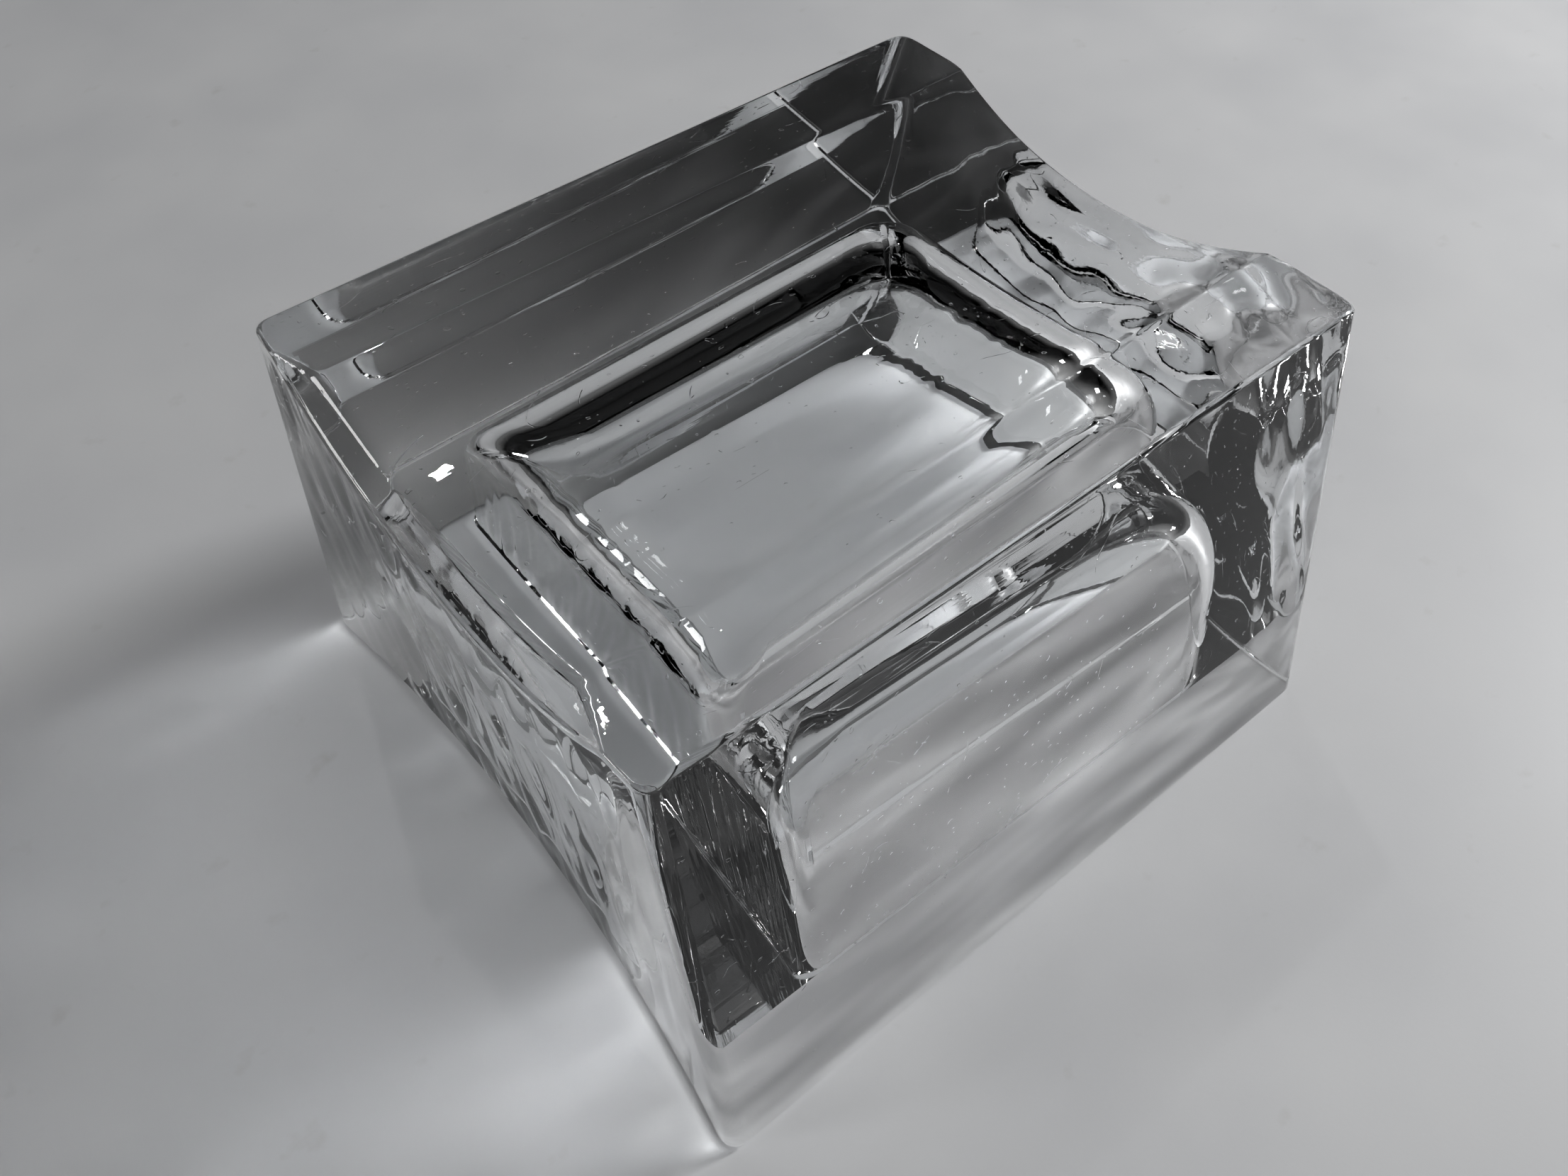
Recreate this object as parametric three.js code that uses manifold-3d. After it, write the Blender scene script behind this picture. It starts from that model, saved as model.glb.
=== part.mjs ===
// A clear cast display block, one solid piece that rests on the rim of its open base.
// Frame: millimetres, +Z up, origin at the middle of the base, X along the trough, -Y the front.
// The sides lean in towards the top, and a shallow trough runs along the top between two flat
// lands. Its near end, at -X, opens out like a funnel, and its far end, at +X, dips. A hollow with a
// rounded ceiling is open at the base and lies a little nearer the back.
import * as THREE from "three";
import { mergeVertices } from "three/addons/utils/BufferGeometryUtils.js";
import Module from "manifold-3d";

const { lerp, clamp } = THREE.MathUtils;

// Outer body
const HEIGHT = 50;
const BASE_LENGTH = 80.5;
const BASE_WIDTH = 77.5;
const TOP_LENGTH = 74.4;
const TOP_WIDTH = 58;
const TOP_BEVEL = 0.55;
const BASE_BEVEL = 0.6;

// The two ends are finished differently. A bow is how far an edge curves in at its middle.
const NEAR = {
  baseRadius: 2,
  edgeRadius: 1.2,
  capRadius: 1.2,
  baseBow: 3.3,
  topBow: -1,
  bevel: 0.35,
};
const FAR = {
  baseRadius: 2,
  edgeRadius: 1,
  capRadius: 4,
  baseBow: 3.3,
  topBow: -0.3,
  bevel: 0.6,
};

// Trough along the top
const LAND_WIDTH = 9.4;
const TROUGH_DEPTH = 3.75;
const HALF_CHORD = TOP_WIDTH / 2 - LAND_WIDTH;
const TROUGH_RADIUS = (HALF_CHORD ** 2 + TROUGH_DEPTH ** 2) / (2 * TROUGH_DEPTH);
const TROUGH_CENTRE = HEIGHT - TROUGH_DEPTH + TROUGH_RADIUS;
const FLARE_START = 35.7;
const FLARE_SLOPE = 1.35; // growth of the trough's radius for each mm beyond the start
const DIP_START = 31.8;
const DIP_SLOPE = 0.27;

// Hollow in the base
const HOLLOW_HEIGHT = 31.5;
const HOLLOW_DRAFT = 0.01; // how much each wall leans in for each mm of height
const HOLLOW_NEAR = { reach: 25.5, radius: 3, round: { length: 7, height: 8 } };
const HOLLOW_FAR = { reach: 32.8, radius: 6, round: { length: 16, height: 20 } };
const HOLLOW_FRONT = { reach: 19.4, round: { length: 4, height: 4.5 } };
const HOLLOW_BACK = { reach: 25.6, round: { length: 19, height: 15 } };
const CORNER_GROWTH = 0.1; // how much the corners widen as the walls draw in
const CORNER_GAP = 0.3; // least straight part beside a corner

// Fineness of the facets
const CORNER_STEPS = 6;
const SIDE_STEPS = 14;
const WALL_LEVELS = 10;
const BEVEL_STEPS = 3;
const TROUGH_STEPS = 64;
const FLARE_LEVELS = 5;
const HOLLOW_LEVELS = 18;
const OVERRUN = 5; // how far a cutter passes outside the body

const wasm = await Module();
wasm.setup();

// A closed three.js geometry as a solid that can be cut.
function solidOf(geometry) {
  const merged = mergeVertices(geometry, 1e-4);
  return new wasm.Manifold(
    new wasm.Mesh({
      numProp: 3,
      vertProperties: merged.attributes.position.array,
      triVerts: new Uint32Array(merged.index.array),
    }),
  );
}

// A solid as a three.js geometry.
function geometryOf(solid) {
  const mesh = solid.getMesh();
  const geometry = new THREE.BufferGeometry();
  geometry.setAttribute("position", new THREE.BufferAttribute(mesh.vertProperties, 3));
  geometry.setIndex(new THREE.BufferAttribute(mesh.triVerts, 1));
  geometry.computeVertexNormals();
  return geometry;
}

// A closed skin over a stack of rings that have the same number of points, first to last. Each ring
// runs anticlockwise as seen from the last ring's side.
function loft(rings) {
  const count = rings[0].length;
  const corners = [];
  const face = (...vertices) => vertices.forEach((v) => corners.push(v.x, v.y, v.z));
  const middleOf = (ring) => {
    const sum = ring.reduce((total, v) => total.add(v), new THREE.Vector3());
    return sum.divideScalar(ring.length);
  };
  const first = rings[0];
  const last = rings[rings.length - 1];
  const firstMiddle = middleOf(first);
  const lastMiddle = middleOf(last);
  for (let i = 0; i < count; i++) {
    const j = (i + 1) % count;
    face(firstMiddle, first[j], first[i]);
    face(lastMiddle, last[i], last[j]);
    for (let k = 0; k + 1 < rings.length; k++) {
      face(rings[k][i], rings[k][j], rings[k + 1][j]);
      face(rings[k][i], rings[k + 1][j], rings[k + 1][i]);
    }
  }
  const geometry = new THREE.BufferGeometry();
  geometry.setAttribute("position", new THREE.Float32BufferAttribute(corners, 3));
  return geometry;
}

// Outline of a rounded rectangle at height z, anticlockwise. Each end has its own reach, corner
// radius and bow.
function outline(near, far, halfY, shiftY, z) {
  const points = [];
  const corners = [
    { end: far, side: 1, across: 1, start: 0 },
    { end: near, side: -1, across: 1, start: Math.PI / 2 },
    { end: near, side: -1, across: -1, start: Math.PI },
    { end: far, side: 1, across: -1, start: 1.5 * Math.PI },
  ];
  const centreX = ({ end, side }) => side * (end.reach - end.radius);
  const centreY = ({ end, across }) => across * (halfY - end.radius);
  const bowed = ({ end, side }, x, y) => x - side * end.bow * (1 - (y / halfY) ** 2);
  corners.forEach((corner, index) => {
    const next = corners[(index + 1) % corners.length];
    for (let i = 0; i <= CORNER_STEPS; i++) {
      const angle = corner.start + (i / CORNER_STEPS) * (Math.PI / 2);
      const x = centreX(corner) + corner.end.radius * Math.cos(angle);
      const y = centreY(corner) + corner.end.radius * Math.sin(angle);
      points.push(new THREE.Vector3(bowed(corner, x, y), y + shiftY, z));
    }
    for (let i = 1; i < SIDE_STEPS; i++) {
      const share = i / SIDE_STEPS;
      if (corner.side === next.side) {
        const y = lerp(centreY(corner), centreY(next), share);
        points.push(new THREE.Vector3(bowed(corner, corner.side * corner.end.reach, y), y + shiftY, z));
      } else {
        const x = lerp(centreX(corner), centreX(next), share);
        points.push(new THREE.Vector3(x, corner.across * halfY + shiftY, z));
      }
    }
  });
  return points;
}

// The body's outline at height z. Turn goes from 0 to 1 round the top bevel, and inset draws the
// outline in at the base bevel.
function bodyRing(z, turn = 0, inset = 0) {
  const share = z / HEIGHT;
  const endAt = (end) => ({
    reach: lerp(BASE_LENGTH, TOP_LENGTH, share) / 2 - end.bevel * turn - inset,
    radius: lerp(lerp(end.baseRadius, end.edgeRadius, share), end.capRadius, turn),
    bow: lerp(end.baseBow, end.topBow, share),
  });
  const halfY = lerp(BASE_WIDTH, TOP_WIDTH, share) / 2 - TOP_BEVEL * turn - inset;
  return outline(endAt(NEAR), endAt(FAR), halfY, 0, z);
}

function body() {
  const rings = [bodyRing(0, 0, BASE_BEVEL)];
  for (let i = 0; i <= WALL_LEVELS; i++) {
    rings.push(bodyRing(lerp(BASE_BEVEL, HEIGHT - TOP_BEVEL, i / WALL_LEVELS)));
  }
  for (let i = 1; i <= BEVEL_STEPS; i++) {
    const angle = (i / BEVEL_STEPS) * (Math.PI / 2);
    rings.push(bodyRing(HEIGHT - TOP_BEVEL * (1 - Math.sin(angle)), 1 - Math.cos(angle)));
  }
  return solidOf(loft(rings));
}

// Height of the trough's surface at a place on the top.
function troughHeight(x, y) {
  const radius = TROUGH_RADIUS + FLARE_SLOPE * Math.max(-x - FLARE_START, 0);
  const dip = DIP_SLOPE * Math.max(x - DIP_START, 0) * Math.max(1 - (y / HALF_CHORD) ** 2, 0);
  return TROUGH_CENTRE - Math.sqrt(radius ** 2 - y ** 2) - dip;
}

// The trough's cutter: everything above its surface.
function troughCutter() {
  const end = BASE_LENGTH / 2 + OVERRUN;
  const stations = [];
  for (let i = 0; i <= FLARE_LEVELS; i++) {
    stations.push(lerp(-end, -FLARE_START, i / FLARE_LEVELS));
  }
  stations.push(DIP_START, end);
  const reach = TOP_WIDTH / 2 + OVERRUN;
  const roof = troughHeight(0, reach) + OVERRUN;
  const rings = stations.map((x) => {
    const ring = [];
    for (let i = 0; i <= TROUGH_STEPS; i++) {
      const y = lerp(-reach, reach, i / TROUGH_STEPS);
      ring.push(new THREE.Vector3(x, y, troughHeight(x, y)));
    }
    ring.push(new THREE.Vector3(x, reach, roof), new THREE.Vector3(x, -reach, roof));
    return ring;
  });
  return solidOf(loft(rings));
}

// How far a wall that ends in a round is drawn in at height z.
function roundInset({ length, height }, z) {
  const rise = clamp((z - HOLLOW_HEIGHT + height) / height, 0, 1);
  return length * (1 - Math.sqrt(1 - rise ** 2));
}

function hollowRing(z) {
  const draft = HOLLOW_DRAFT * Math.max(z, 0);
  const reachAt = (wall) => wall.reach - draft - roundInset(wall.round, z);
  const front = reachAt(HOLLOW_FRONT);
  const back = reachAt(HOLLOW_BACK);
  const halfY = (front + back) / 2;
  const drawnIn = (HOLLOW_FRONT.reach + HOLLOW_BACK.reach) / 2 - halfY;
  const endAt = (end) => ({
    reach: reachAt(end),
    radius: Math.min(end.radius + CORNER_GROWTH * drawnIn, halfY - CORNER_GAP),
    bow: 0,
  });
  return outline(endAt(HOLLOW_NEAR), endAt(HOLLOW_FAR), halfY, (back - front) / 2, z);
}

// The hollow's cutter, with its levels closer together towards the ceiling.
function hollowCutter() {
  const rings = [hollowRing(-OVERRUN)];
  for (let i = 0; i <= HOLLOW_LEVELS; i++) {
    rings.push(hollowRing(HOLLOW_HEIGHT * Math.sin((i / HOLLOW_LEVELS) * (Math.PI / 2))));
  }
  return solidOf(loft(rings));
}

const displayBlock = new THREE.Mesh(
  geometryOf(body().subtract(troughCutter()).subtract(hollowCutter())),
  new THREE.MeshStandardMaterial({
    color: 0xeef1f2,
    roughness: 0.04,
    metalness: 0,
    transparent: true,
    opacity: 0.35,
  }),
);
displayBlock.name = "display_block";

const part = new THREE.Group();
part.add(displayBlock);

export default part;
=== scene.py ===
"""A clear cast display block on a pale table, seen from above its front left corner."""
import math

import bmesh
import bpy
import numpy as np
from mathutils import Matrix, Vector


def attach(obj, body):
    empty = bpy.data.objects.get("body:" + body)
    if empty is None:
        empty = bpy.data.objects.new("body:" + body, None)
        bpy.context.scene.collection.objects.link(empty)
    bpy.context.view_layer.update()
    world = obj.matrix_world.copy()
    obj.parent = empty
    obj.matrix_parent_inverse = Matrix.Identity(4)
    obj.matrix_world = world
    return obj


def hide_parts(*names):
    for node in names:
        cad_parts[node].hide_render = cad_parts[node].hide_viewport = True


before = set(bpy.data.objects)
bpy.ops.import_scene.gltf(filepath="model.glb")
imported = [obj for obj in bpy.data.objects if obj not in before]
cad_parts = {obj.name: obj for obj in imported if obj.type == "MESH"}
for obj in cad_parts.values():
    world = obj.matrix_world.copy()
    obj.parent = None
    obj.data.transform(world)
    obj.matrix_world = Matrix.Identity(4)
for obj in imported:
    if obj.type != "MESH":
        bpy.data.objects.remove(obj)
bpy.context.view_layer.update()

MM = 0.001
NODE = "display_block"

# Outer body, millimetres
HEIGHT = 50.0
BASE_LENGTH = 80.5
BASE_WIDTH = 77.5
TOP_LENGTH = 74.4
TOP_WIDTH = 58.0
TOP_BEVEL = 0.55
BASE_BEVEL = 0.6

# The near end, at -X, and the far end, at +X, are finished differently
NEAR, FAR = 0, 1
BASE_RADIUS = (2.0, 2.0)  # upright edges, at the base
EDGE_RADIUS = (1.2, 1.0)  # upright edges, just under the top
CAP_RADIUS = (1.2, 4.0)  # corners of the top itself
BASE_BOW = (3.3, 3.3)  # how far the base edge curves in at its middle
TOP_BOW = (-1.0, -0.3)  # the top edge bulges out instead
END_BEVEL = (0.35, 0.6)

# Trough along the top
LAND_WIDTH = 9.4
TROUGH_DEPTH = 3.75
HALF_CHORD = TOP_WIDTH / 2 - LAND_WIDTH
TROUGH_RADIUS = (HALF_CHORD**2 + TROUGH_DEPTH**2) / (2 * TROUGH_DEPTH)
TROUGH_CENTRE = HEIGHT - TROUGH_DEPTH + TROUGH_RADIUS
FLARE_START = 35.7  # the near end opens out like a shallow funnel
FLARE_SLOPE = 1.35  # growth of the trough's radius for each mm beyond the start
FLARE_LEAD = 1.0  # how far before its start the flare is still followed
DIP_START = 31.8  # the far end dips in its middle
DIP_SLOPE = 0.27
CREASE = 0.12  # how softly land, trough and flare meet

# Hollow in the base
HOLLOW_REACH = (25.5, 32.8)  # near and far walls at the mouth
HOLLOW_SIDES = (19.4, 25.6)  # front and back walls at the mouth
HOLLOW_HEIGHT = 31.5
HOLLOW_RADIUS = (3.0, 6.0)  # upright edges, near and far
HOLLOW_DRAFT = 0.01  # how much each wall leans in, for each mm of height
FRONT_ROUND = (4.0, 4.5)  # length and height of the rounds between walls and ceiling
BACK_ROUND = (19.0, 15.0)
NEAR_ROUND = (7.0, 8.0)
FAR_ROUND = (16.0, 20.0)
CORNER_GROWTH = 0.1  # how much the upright edges widen as the walls draw in
CORNER_GAP = 0.3  # least straight part beside a corner
MOUTH_BEVEL = 0.4
GROUND_FRONT = -19.6  # the rim is ground beyond these lines, along the two long sides
GROUND_BACK = 25.8

# Waves
RIPPLE_FADE = 2.5  # distance from an edge over which they die away
WAVES_START = 20.0  # height at which those of the hollow's ceiling begin
FAR_STRENGTH = 0.45  # of the far end's waves, from the middle to the back
FAR_GROWTH = 3.2  # how much stronger they are at the front edge

# Fineness of the mesh
ARC_STEPS = 6
MIDDLE_ROWS = 130
MIDDLE_COLUMNS = 70
END_SPACING = (0, 0.002, 0.006, 0.012, 0.02, 0.03, 0.042, 0.056, 0.075, 0.1)  # columns near an end
WALL_LEVELS = 84
HOLLOW_LEVELS = 44
RIM_SHARES = (0.01, 0.25, 0.5, 0.75, 0.99)  # rings across the rim, from its outer to its inner edge
EDGE_PASSES = 6  # rounds that settle the height of the top's edge
SUPPORT = 0.15  # width of the strips that keep flat faces flat beside a bevel
SNUG = 0.9994  # keeps this model just inside the plain one

# Looks of the acrylic
IOR = 1.49
CLEAR_TINT = (0.97, 0.98, 0.985, 1)
FRONT_GROUND_PAINTED_LIGHT = ((0.36, 0.36, 0.365, 1), (0.74, 0.74, 0.745, 1))  # ground rim's own grey between its painted light streaks, and the painted light in them
BACK_GROUND_PAINTED_SHADE = ((0.32, 0.32, 0.32, 1), (0.04, 0.04, 0.04, 1))  # painted shade on the back rim, at the near end and at the far end
# where the painted shade along the back rim goes from lightest to darkest
BACK_SHADE_SPAN = (-36.0, 30.0)
GROUND_SKIN = (0.02, 0.08)  # heights between which the ground finish gives way to clear walls
GROUND_ROUGHNESS = 0.6
SMUDGE_ROUGHNESS = 0.03
LIGHT_PASSED = ((0.06, 0.061, 0.062, 1), (0.62, 0.625, 0.63, 1))  # least and most, from a lamp
FLARE_MARKS = (-36.4, -35.6)  # turning marks fade out between these places

# Table, metres
TABLE_REACH = 1.2
TABLE_GAP = 0.0003
TABLE_COLOURS = ((0.565, 0.57, 0.582, 1), (0.605, 0.608, 0.614, 1))
MARK_COLOUR = (0.42, 0.41, 0.39, 1)

# Camera, with its places in millimetres
SENSOR_WIDTH = 36.0
LENS = 29.09
CLIP_START = 0.005
CAMERA_PLACE = (-53.51, -64.97, 120.99)
CAMERA_AIM = (-7.92, -6.54, 25.0)
CAMERA_ROLL = -0.93  # degrees

# Room: a direction, its cosines where the light begins and where it is full, and its level
ROOM = (
    ((0.15, -0.7, 0.7), 0.4, 0.95, 0.34),  # ceiling on the viewer's side
    ((0.15, -0.8, 0.6), 0.7, 0.98, 0.25),  # upper part of the wall behind the viewer
    ((0.0, 0.0, 1.0), 0.22, 0.0, 0.12),  # low band all round
)

# Lamps: name, place and size in metres, and power in watts
LAMP_AIM = (0, 0, 0.02)
LAMPS = (
    ("window", (0.70, -0.17, 0.40), (0.11, 0.09), 6.0),
    ("ceiling_lamp", (0.147, 0.43, 0.80), (0.016, 0.016), 0.35),
    ("doorway", (-0.60, 0.30, 0.34), (0.12, 0.20), 0.8),
)
GAMMA = 0.86
EXPOSURE = 0.1


class Sheet:
    """Rows and columns that fill a rounded rectangle. Its border is the ring that walls grow from."""

    def __init__(self):
        angles = np.linspace(0, np.pi / 2, ARC_STEPS + 1)[1:]
        middle = np.linspace(-1, 1, MIDDLE_ROWS)
        self.along = np.concatenate([-np.ones(ARC_STEPS), middle, np.ones(ARC_STEPS)])
        sines = np.sin(angles)
        cosines = np.cos(angles)
        self.sine = np.concatenate([-sines[::-1], np.zeros(len(middle)), sines])
        self.cosine = np.concatenate([cosines[::-1], np.ones(len(middle)), cosines])
        edge = 1 - np.array(END_SPACING)
        inner = np.linspace(-edge[-1], edge[-1], MIDDLE_COLUMNS)[1:-1]
        self.columns = np.concatenate([-edge, inner, edge[::-1]])
        rows, columns = len(self.along), len(self.columns)
        ring = [(0, j) for j in range(columns)]
        ring += [(i, columns - 1) for i in range(1, rows)]
        ring += [(rows - 1, j) for j in range(columns - 2, -1, -1)]
        ring += [(i, 0) for i in range(rows - 2, 0, -1)]
        self.ring_rows = np.array([i for i, j in ring])
        self.ring_columns = np.array([j for i, j in ring])
        self.shape = (rows, columns)

    def place(self, rows, columns, half_x, half_y, radius, bow=(0.0, 0.0)):
        """x and y of the points at those rows and columns, on an outline of that size.
        half_x, radius and bow each hold a value for the near end and one for the far end."""
        across = self.columns[columns]
        share = (across + 1) / 2
        corner = radius[NEAR] + (radius[FAR] - radius[NEAR]) * share
        y = self.along[rows] * (half_y - corner) + self.sine[rows] * corner
        reach = []
        for end in (NEAR, FAR):
            drawn_in = radius[end] * (1 - self.cosine[rows]) + bow[end] * (1 - (y / half_y) ** 2)
            reach.append(half_x[end] - drawn_in)
        return share * reach[FAR] - (1 - share) * reach[NEAR], y

    def grid(self):
        return np.meshgrid(np.arange(self.shape[0]), np.arange(self.shape[1]), indexing="ij")


class Ripples:
    """Shallow random waves in a moulded face, a sum of sine waves. Across and up are the ranges of
    their lengths in millimetres, and slope is the steepest slope of each."""

    def __init__(self, seed, count, across, up, slope):
        random = np.random.default_rng(seed)
        self.across = random.uniform(*across, count) * random.choice([-1, 1], count)
        self.up = random.uniform(*up, count)
        self.phase = random.uniform(0, 2 * np.pi, count)
        pitch = 1 / np.hypot(1 / self.across, 1 / self.up)
        self.height = slope * pitch / (2 * np.pi)

    def at(self, y, z):
        waves = y[..., None] / self.across + z[..., None] / self.up
        return (self.height * np.sin(2 * np.pi * waves + self.phase)).sum(axis=-1)


NEAR_RIPPLES = Ripples(5, 16, (1.8, 8.0), (14.0, 60.0), 0.04)
FAR_RIPPLES = Ripples(8, 12, (6.0, 20.0), (9.0, 40.0), 0.014)
HOLLOW_RIPPLES = Ripples(11, 14, (1.5, 6.0), (18.0, 70.0), 0.03)
CEILING_RIPPLES = Ripples(17, 12, (1.4, 6.0), (60.0, 200.0), 0.014)


def soft_min(a, b, softness):
    """The lower of two surfaces, with the crease between them rounded over."""
    gap = np.clip(0.5 + 0.5 * (b - a) / softness, 0, 1)
    return b * (1 - gap) + a * gap - softness * gap * (1 - gap)


def top_height(x, y):
    """Height of the top: flat lands, the trough between them, and the shape of its two ends."""
    dip = DIP_SLOPE * np.maximum(x - DIP_START, 0) * np.maximum(1 - (y / HALF_CHORD) ** 2, 0)
    trough = TROUGH_CENTRE - np.sqrt(TROUGH_RADIUS**2 - y**2) - dip
    flare_radius = TROUGH_RADIUS + FLARE_SLOPE * np.maximum(-x - FLARE_START, -FLARE_LEAD)
    flare = TROUGH_CENTRE - np.sqrt(flare_radius**2 - y**2)
    return soft_min(soft_min(HEIGHT + 0 * y, trough, CREASE), flare, CREASE)


def body_points(sheet, rows, columns, z, turn=0.0):
    """The body's outline at height z. At the top bevel, turn goes from 0 to 1 as it draws in."""
    share = z / HEIGHT
    half_y = BASE_WIDTH / 2 + (TOP_WIDTH - BASE_WIDTH) / 2 * share - TOP_BEVEL * turn
    half_x = []
    radius = []
    bow = []
    for end in (NEAR, FAR):
        reach = BASE_LENGTH / 2 + (TOP_LENGTH - BASE_LENGTH) / 2 * share
        half_x.append(reach - END_BEVEL[end] * turn)
        edge = BASE_RADIUS[end] + (EDGE_RADIUS[end] - BASE_RADIUS[end]) * share
        radius.append(edge + (CAP_RADIUS[end] - edge) * turn)
        bow.append(BASE_BOW[end] + (TOP_BOW[end] - BASE_BOW[end]) * share)
    return sheet.place(rows, columns, half_x, half_y, radius, bow)


def stack(x, y, z):
    return np.stack(np.broadcast_arrays(x, y, z), axis=-1)


def fade_in(distance):
    """0 at an edge, and 1 once the waves are at their full height."""
    return np.clip(distance / RIPPLE_FADE, 0, 1)


def end_ripple(sheet, y, z, edge):
    """How far the wavy surface of the two ends stands out. It fades away towards every edge."""
    half_y = (BASE_WIDTH + (TOP_WIDTH - BASE_WIDTH) * z / HEIGHT) / 2
    inside = half_y - np.abs(y) - BASE_RADIUS[NEAR]
    fade = fade_in(inside) * fade_in(z - BASE_BEVEL) * fade_in(edge - z)
    near = (sheet.ring_columns == 0) * NEAR_RIPPLES.at(y, z)
    far = (sheet.ring_columns == sheet.shape[1] - 1) * FAR_RIPPLES.at(y, z)
    far = far * (FAR_STRENGTH + FAR_GROWTH * np.clip(-y / (BASE_WIDTH / 2), 0, 1))
    return fade * (near + far)


def block_rings(sheet):
    """The outer rings from the base up, then the grid of the top."""
    rows, columns = sheet.ring_rows, sheet.ring_columns
    edge = np.full(len(rows), HEIGHT - TOP_BEVEL)
    for _ in range(EDGE_PASSES):
        x, y = body_points(sheet, rows, columns, edge, 1.0)
        edge = top_height(x, y) - TOP_BEVEL
    rings = []
    for angle in np.linspace(0, np.pi / 2, ARC_STEPS):
        z = np.full(len(rows), BASE_BEVEL * (1 - math.cos(angle)))
        x, y = body_points(sheet, rows, columns, z)
        shrink = BASE_BEVEL * (1 - math.sin(angle))
        x = x * (1 - 2 * shrink / BASE_LENGTH)
        y = y * (1 - 2 * shrink / BASE_WIDTH)
        rings.append(stack(x, y, z))
    wall = edge - BASE_BEVEL
    for share in np.linspace(0, 1, WALL_LEVELS):
        z = BASE_BEVEL + np.clip(wall * share, SUPPORT, wall - SUPPORT)
        x, y = body_points(sheet, rows, columns, z)
        rings.append(stack(x + end_ripple(sheet, y, z, edge), y, z))
    for angle in np.linspace(0, np.pi / 2, ARC_STEPS):
        z = edge + TOP_BEVEL * math.sin(angle)
        rings.append(stack(*body_points(sheet, rows, columns, edge, 1 - math.cos(angle)), z))
    ii, jj = sheet.grid()
    near = np.zeros(sheet.shape[0])
    far = np.zeros(sheet.shape[0])
    on_near = sheet.ring_columns == 0
    on_far = sheet.ring_columns == sheet.shape[1] - 1
    near[sheet.ring_rows[on_near]] = edge[on_near]
    far[sheet.ring_rows[on_far]] = edge[on_far]
    row_edge = near[ii] + (far[ii] - near[ii]) * (sheet.columns[jj] + 1) / 2
    x, y = body_points(sheet, ii, jj, row_edge, 1.0)
    return rings, stack(x, y, top_height(x, y))


def rounding(z, length, height):
    """How far a wall that ends in a round of that size is drawn in at height z."""
    rise = np.clip((z - HOLLOW_HEIGHT + height) / height, 0, 1)
    return length * (1 - math.sqrt(1 - rise**2))


def hollow_points(sheet, rows, columns, z, grow=0.0):
    """The hollow's outline at height z, widened by grow at the bevel of its mouth."""
    draft = HOLLOW_DRAFT * z - grow
    half_x = (
        HOLLOW_REACH[NEAR] - draft - rounding(z, *NEAR_ROUND),
        HOLLOW_REACH[FAR] - draft - rounding(z, *FAR_ROUND),
    )
    front = draft + rounding(z, *FRONT_ROUND) - HOLLOW_SIDES[0]
    back = HOLLOW_SIDES[1] - draft - rounding(z, *BACK_ROUND)
    half_y = (back - front) / 2
    growth = CORNER_GROWTH * (sum(HOLLOW_SIDES) / 2 - half_y)
    radius = [min(r + growth, half_y - CORNER_GAP) for r in HOLLOW_RADIUS]
    x, y = sheet.place(rows, columns, half_x, half_y, radius)
    return stack(x, y + (front + back) / 2, z)


def ceiling_ripple(points):
    """Shallow polishing waves that run along the ceiling and fade away down the walls."""
    fade = np.clip((points[..., 2] - WAVES_START) / (HOLLOW_HEIGHT - WAVES_START), 0, 1)
    return fade * CEILING_RIPPLES.at(points[..., 1], points[..., 0])


def hollow_rings(sheet):
    """The hollow's rings from its mouth up, then the grid of its ceiling."""
    rows, columns = sheet.ring_rows, sheet.ring_columns
    rings = []
    for angle in np.linspace(0, np.pi / 2, ARC_STEPS):
        ring = hollow_points(sheet, rows, columns, 0.0, MOUTH_BEVEL * (1 - math.sin(angle)))
        ring[:, 2] = MOUTH_BEVEL * (1 - math.cos(angle))
        rings.append(ring)
    near_round_start = HOLLOW_HEIGHT - NEAR_ROUND[1]
    turns = np.sin(np.linspace(0, np.pi / 2, HOLLOW_LEVELS))
    levels = MOUTH_BEVEL + SUPPORT + (HOLLOW_HEIGHT - MOUTH_BEVEL - SUPPORT) * turns
    for z in levels:
        ring = hollow_points(sheet, rows, columns, float(z))
        fade = fade_in(z - MOUTH_BEVEL) * fade_in(near_round_start - z)
        wave = HOLLOW_RIPPLES.at(ring[:, 1], ring[:, 2])
        ring[:, 0] += fade * wave * (columns == 0)
        ring[:, 2] += ceiling_ripple(ring)
        rings.append(ring)
    ii, jj = sheet.grid()
    roof = hollow_points(sheet, ii, jj, HOLLOW_HEIGHT)
    roof[..., 2] += ceiling_ripple(roof)
    return rings, roof


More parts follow.
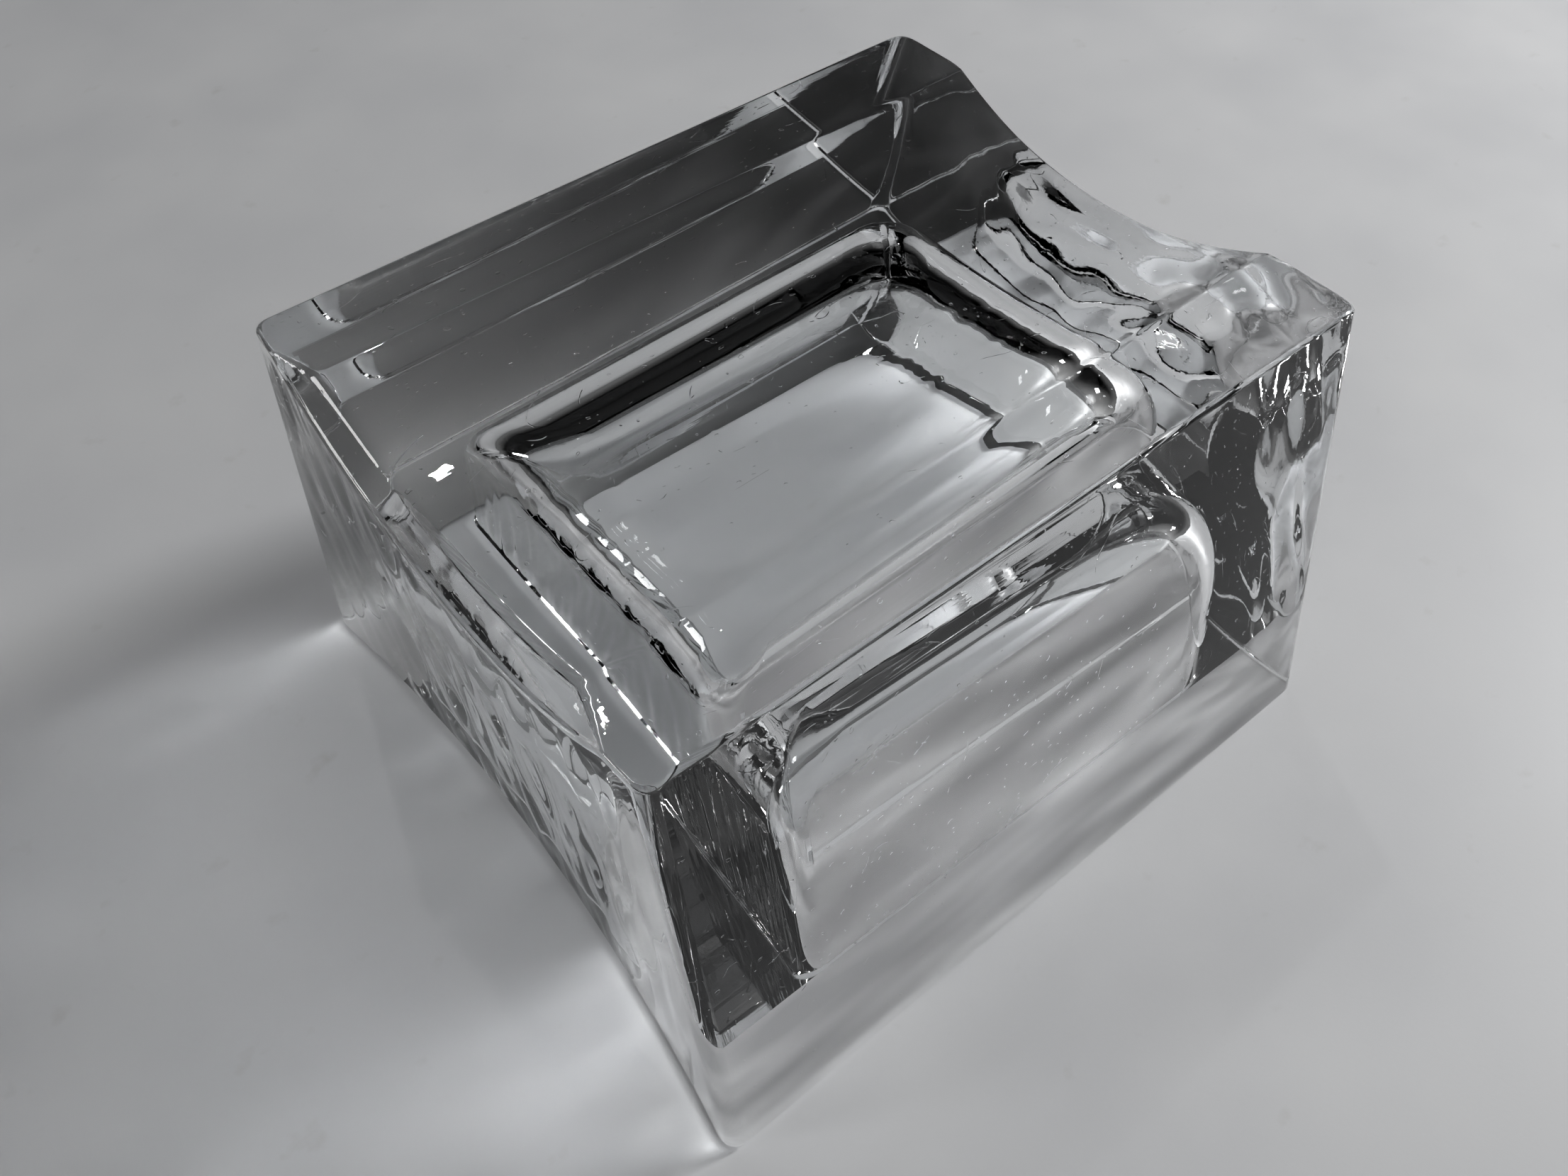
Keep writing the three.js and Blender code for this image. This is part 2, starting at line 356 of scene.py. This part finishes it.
def block_mesh():
    """The whole skin: walls, top, rim, and the hollow's walls and ceiling."""
    sheet = Sheet()
    count = len(sheet.ring_rows)
    outer, top = block_rings(sheet)
    inner, ceiling = hollow_rings(sheet)
    rim = [outer[0] * (1 - share) + inner[0] * share for share in RIM_SHARES]
    vertices = []
    faces = []

    def add(points):
        start = sum(len(v) for v in vertices)
        vertices.append(points.reshape(-1, 3))
        return start

    def join(a, b, flip):
        for i in range(count):
            j = (i + 1) % count
            quad = (a + i, a + j, b + j, b + i)
            faces.append(quad[::-1] if flip else quad)

    def cap(points, last_ring, flip):
        """The grid, whose border is the last ring."""
        start = add(points)
        rows, columns = sheet.shape
        ring_of = {}
        for k in range(count):
            ring_of[(int(sheet.ring_rows[k]), int(sheet.ring_columns[k]))] = last_ring + k

        def index(i, j):
            return ring_of.get((i, j), start + i * columns + j)

        for i in range(rows - 1):
            for j in range(columns - 1):
                quad = (index(i, j), index(i, j + 1), index(i + 1, j + 1), index(i + 1, j))
                faces.append(quad[::-1] if flip else quad)

    outer_starts = [add(ring) for ring in outer]
    for a, b in zip(outer_starts, outer_starts[1:]):
        join(a, b, False)
    cap(top, outer_starts[-1], False)
    down = [outer_starts[0]] + [add(ring) for ring in rim]
    inner_starts = [add(ring) for ring in inner]
    chain = down + inner_starts
    for a, b in zip(chain, chain[1:]):
        join(a, b, True)
    cap(ceiling, inner_starts[-1], True)
    points = np.concatenate(vertices) * (SNUG, SNUG, 1.0) * MM
    mesh = bpy.data.meshes.new("clear_block")
    mesh.from_pydata(points.tolist(), [], faces)
    loose = np.ones(len(points), bool)
    loose[np.unique(np.array(faces))] = False
    remove_loose(mesh, loose)
    mesh.polygons.foreach_set("use_smooth", [True] * len(mesh.polygons))
    mesh.update()
    return mesh


def remove_loose(mesh, loose):
    """Drops the grid border points that the last rings stand in for."""
    form = bmesh.new()
    form.from_mesh(mesh)
    form.verts.ensure_lookup_table()
    spare = [form.verts[int(i)] for i in np.flatnonzero(loose)]
    bmesh.ops.delete(form, geom=spare, context="VERTS")
    form.to_mesh(mesh)
    form.free()


def node_tree(owner):
    owner.use_nodes = True
    tree = owner.node_tree
    tree.nodes.clear()
    return tree


def map_range(tree, source, start, end, low=0.0, high=1.0):
    """A value that goes from low to high as the source goes from start to end."""
    node = tree.nodes.new("ShaderNodeMapRange")
    node.inputs["From Min"].default_value = start
    node.inputs["From Max"].default_value = end
    node.inputs["To Min"].default_value = low
    node.inputs["To Max"].default_value = high
    tree.links.new(source, node.inputs["Value"])
    return node.outputs["Result"]


def math_node(tree, operation, *sources):
    """The result of that operation on sockets and plain numbers."""
    node = tree.nodes.new("ShaderNodeMath")
    node.operation = operation
    for socket, source in zip(node.inputs, sources):
        if isinstance(source, float):
            socket.default_value = source
        else:
            tree.links.new(source, socket)
    return node.outputs["Value"]


def noise(tree, coord, grain, detail=2.0):
    """Noise whose grains have those lengths, in millimetres, along X, Y and Z."""
    stretch = tree.nodes.new("ShaderNodeVectorMath")
    stretch.operation = "MULTIPLY"
    stretch.inputs[1].default_value = [1 / (length * MM) for length in grain]
    tree.links.new(coord, stretch.inputs[0])
    texture = tree.nodes.new("ShaderNodeTexNoise")
    texture.inputs["Scale"].default_value = 1.0
    texture.inputs["Detail"].default_value = detail
    tree.links.new(stretch.outputs["Vector"], texture.inputs["Vector"])
    return texture.outputs["Fac"]


def bump(tree, height, depth, strength=None, below=None):
    """A relief of that depth in millimetres, laid over the relief below it."""
    node = tree.nodes.new("ShaderNodeBump")
    node.inputs["Distance"].default_value = depth * MM
    tree.links.new(height, node.inputs["Height"])
    if strength is not None:
        tree.links.new(strength, node.inputs["Strength"])
    if below is not None:
        tree.links.new(below, node.inputs["Normal"])
    return node.outputs["Normal"]


def blend(tree, factor, a, b):
    """Colour a where the factor is 0 and colour b where it is 1."""
    node = tree.nodes.new("ShaderNodeMix")
    node.data_type = "RGBA"
    tree.links.new(factor, node.inputs["Factor"])
    for name, colour in (("A", a), ("B", b)):
        if isinstance(colour, tuple):
            node.inputs[name].default_value = colour
        else:
            tree.links.new(colour, node.inputs[name])
    return node.outputs["Result"]


def let_lamps_through(tree, shader, coord):
    """What the surface shows: the shader, and for light on its way from a lamp a clear film instead.
    The film passes it unevenly, as curved faces do."""
    path = tree.nodes.new("ShaderNodeLightPath")
    film = tree.nodes.new("ShaderNodeBsdfTransparent")
    surface = tree.nodes.new("ShaderNodeMixShader")
    focus = map_range(tree, noise(tree, coord, (30.0, 4.5, 10.0), 1.0), 0.4, 0.6)
    tree.links.new(blend(tree, focus, *LIGHT_PASSED), film.inputs["Color"])
    tree.links.new(path.outputs["Is Shadow Ray"], surface.inputs[0])
    tree.links.new(shader.outputs["BSDF"], surface.inputs[1])
    tree.links.new(film.outputs["BSDF"], surface.inputs[2])
    return surface.outputs["Shader"]


def clearness(tree, y, z):
    """1 where the block is clear and 0 on the ground rim along its two long sides."""
    above = map_range(tree, z, *(height * MM for height in GROUND_SKIN))
    centre = (GROUND_FRONT + GROUND_BACK) / 2 * MM
    half_width = (GROUND_BACK - GROUND_FRONT) / 2 * MM
    between = math_node(tree, "COMPARE", y, centre, half_width)
    return math_node(tree, "MAXIMUM", above, between)


def ground_colour_and_painted_light(tree, coord, x, y):
    """The ground rim's grey, streaky and pale with painted light along the front, and darker with
    painted shade along the back, most at the far end.
    """
    # painted light: pale caustic-like streaks along the front rim
    painted_light_streaks = map_range(tree, noise(tree, coord, (45.0, 11.0, 20.0)), 0.34, 0.68)
    # painted shade: the back rim gets darker towards the far end
    along = map_range(tree, x, *(place * MM for place in BACK_SHADE_SPAN))
    # painted shade: the rim darkens from the front to the back
    across = map_range(tree, y, GROUND_FRONT * MM, GROUND_BACK * MM)
    front = blend(tree, painted_light_streaks, *FRONT_GROUND_PAINTED_LIGHT)
    back = blend(tree, along, *BACK_GROUND_PAINTED_SHADE)
    return blend(tree, across, front, back)


def fine_relief(tree, coord, x):
    """Polishing marks, turning marks on the flare, patches of hair scratches, and pits."""
    polish = bump(tree, noise(tree, coord, (30.0, 0.8, 0.8)), 0.004)
    flare = map_range(tree, x, *(place * MM for place in FLARE_MARKS), 1.0, 0.0)
    turned = bump(tree, noise(tree, coord, (0.45, 20.0, 20.0)), 0.012, flare, polish)
    fold = noise(tree, coord, (9.0, 6.0, 9.0), 1.0)
    from_crease = math_node(tree, "ABSOLUTE", math_node(tree, "SUBTRACT", fold, 0.5))
    hair = map_range(tree, from_crease, 0.0, 0.004, 1.0, 0.0)
    patches = map_range(tree, noise(tree, coord, (5.0, 3.5, 5.0)), 0.58, 0.66)
    scratched = bump(tree, hair, 0.012, patches, turned)
    pits = map_range(tree, noise(tree, coord, (0.7, 0.7, 0.7), 0.0), 0.81, 0.85)
    return bump(tree, pits, 0.02, None, scratched)


def clear_material():
    """Clear acrylic with fine marks and smudges. The rim that it stands on is ground along the two
    long sides."""
    material = bpy.data.materials.new("clear_acrylic")
    tree = node_tree(material)
    nodes, links = tree.nodes, tree.links
    out = nodes.new("ShaderNodeOutputMaterial")
    shader = nodes.new("ShaderNodeBsdfPrincipled")
    shader.inputs["IOR"].default_value = IOR
    coord = nodes.new("ShaderNodeTexCoord").outputs["Object"]
    split = nodes.new("ShaderNodeSeparateXYZ")
    links.new(coord, split.inputs[0])
    x, y, z = split.outputs["X"], split.outputs["Y"], split.outputs["Z"]
    links.new(let_lamps_through(tree, shader, coord), out.inputs["Surface"])

    clear = clearness(tree, y, z)
    links.new(clear, shader.inputs["Transmission Weight"])
    # the ground rim's colour holds painted light streaks at the front and painted shade at the back
    ground = ground_colour_and_painted_light(tree, coord, x, y)
    links.new(blend(tree, clear, ground, CLEAR_TINT), shader.inputs["Base Color"])

    smudge_noise = noise(tree, coord, (14.0, 9.0, 14.0), 4.0)
    smudges = map_range(tree, smudge_noise, 0.55, 0.75, 0.0, SMUDGE_ROUGHNESS)
    ground_roughness = map_range(tree, clear, 0.0, 1.0, GROUND_ROUGHNESS, 0.0)
    roughness = math_node(tree, "MAXIMUM", smudges, ground_roughness)
    links.new(roughness, shader.inputs["Roughness"])
    links.new(fine_relief(tree, coord, x), shader.inputs["Normal"])
    return material


def table_material():
    """A pale matt table top with a faint mottle and a few soft marks."""
    material = bpy.data.materials.new("pale_table")
    tree = node_tree(material)
    nodes, links = tree.nodes, tree.links
    out = nodes.new("ShaderNodeOutputMaterial")
    shader = nodes.new("ShaderNodeBsdfPrincipled")
    links.new(shader.outputs["BSDF"], out.inputs["Surface"])
    coord = nodes.new("ShaderNodeTexCoord").outputs["Object"]
    mottle = noise(tree, coord, (35.0, 35.0, 35.0), 3.0)
    colour = blend(tree, map_range(tree, mottle, 0.3, 0.7), *TABLE_COLOURS)
    marks = map_range(tree, noise(tree, coord, (6.0, 5.0, 6.0), 5.0), 0.66, 0.8, 0.0, 0.35)
    colour = blend(tree, marks, colour, MARK_COLOUR)
    links.new(colour, shader.inputs["Base Color"])
    links.new(map_range(tree, mottle, 0.3, 0.7, 0.42, 0.58), shader.inputs["Roughness"])
    links.new(bump(tree, noise(tree, coord, (0.5, 0.5, 0.5)), 0.004), shader.inputs["Normal"])
    return material


def make_camera():
    data = bpy.data.cameras.new("camera")
    data.sensor_fit = "HORIZONTAL"
    data.sensor_width = SENSOR_WIDTH
    data.lens = LENS
    data.clip_start = CLIP_START
    camera = bpy.data.objects.new("camera", data)
    bpy.context.scene.collection.objects.link(camera)
    position = Vector(CAMERA_PLACE) * MM
    aim = Vector(CAMERA_AIM) * MM
    turn = (aim - position).to_track_quat("-Z", "Y").to_matrix().to_4x4()
    roll = Matrix.Rotation(math.radians(CAMERA_ROLL), 4, "Z")
    camera.matrix_world = Matrix.Translation(position) @ turn @ roll
    bpy.context.scene.camera = camera


def area_light(name, place, size, power):
    data = bpy.data.lights.new(name, "AREA")
    data.shape = "RECTANGLE"
    data.size, data.size_y = size
    data.energy = power
    light = bpy.data.objects.new(name, data)
    light.location = place
    light.rotation_euler = (Vector(LAMP_AIM) - Vector(place)).to_track_quat("-Z", "Y").to_euler()
    bpy.context.scene.collection.objects.link(light)


def make_world():
    """A room that is dark above the far side of the table and grey on the viewer's side."""
    world = bpy.data.worlds.new("studio")
    bpy.context.scene.world = world
    tree = node_tree(world)
    nodes, links = tree.nodes, tree.links
    out = nodes.new("ShaderNodeOutputWorld")
    background = nodes.new("ShaderNodeBackground")
    coord = nodes.new("ShaderNodeTexCoord")
    levels = []
    for aim, start, full, level in ROOM:
        dot = nodes.new("ShaderNodeVectorMath")
        dot.operation = "DOT_PRODUCT"
        dot.inputs[1].default_value = Vector(aim).normalized()
        links.new(coord.outputs["Generated"], dot.inputs[0])
        ramp = nodes.new("ShaderNodeMapRange")
        ramp.interpolation_type = "SMOOTHSTEP"
        ramp.inputs["From Min"].default_value = start
        ramp.inputs["From Max"].default_value = full
        ramp.inputs["To Min"].default_value = 0.0
        ramp.inputs["To Max"].default_value = level
        links.new(dot.outputs["Value"], ramp.inputs["Value"])
        levels.append(ramp.outputs["Result"])
    total = math_node(tree, "ADD", math_node(tree, "ADD", levels[0], levels[1]), levels[2])
    links.new(total, background.inputs["Color"])
    background.inputs["Strength"].default_value = 1.0
    links.new(background.outputs["Background"], out.inputs["Surface"])


make_camera()
block = bpy.data.objects.new("clear_block", block_mesh())
bpy.context.scene.collection.objects.link(block)
block.data.materials.append(clear_material())
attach(block, "root")
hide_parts(NODE)

floor_mesh = bpy.data.meshes.new("table")
signs = ((-1, -1), (1, -1), (1, 1), (-1, 1))
floor_mesh.from_pydata([(i * TABLE_REACH, j * TABLE_REACH, 0) for i, j in signs], [], [(0, 1, 2, 3)])
floor = bpy.data.objects.new("table", floor_mesh)
floor.location.z = -TABLE_GAP
bpy.context.scene.collection.objects.link(floor)
floor.data.materials.append(table_material())

make_world()
for lamp in LAMPS:
    area_light(*lamp)
view = bpy.context.scene.view_settings
view.view_transform = "Standard"
view.gamma = GAMMA
view.exposure = EXPOSURE
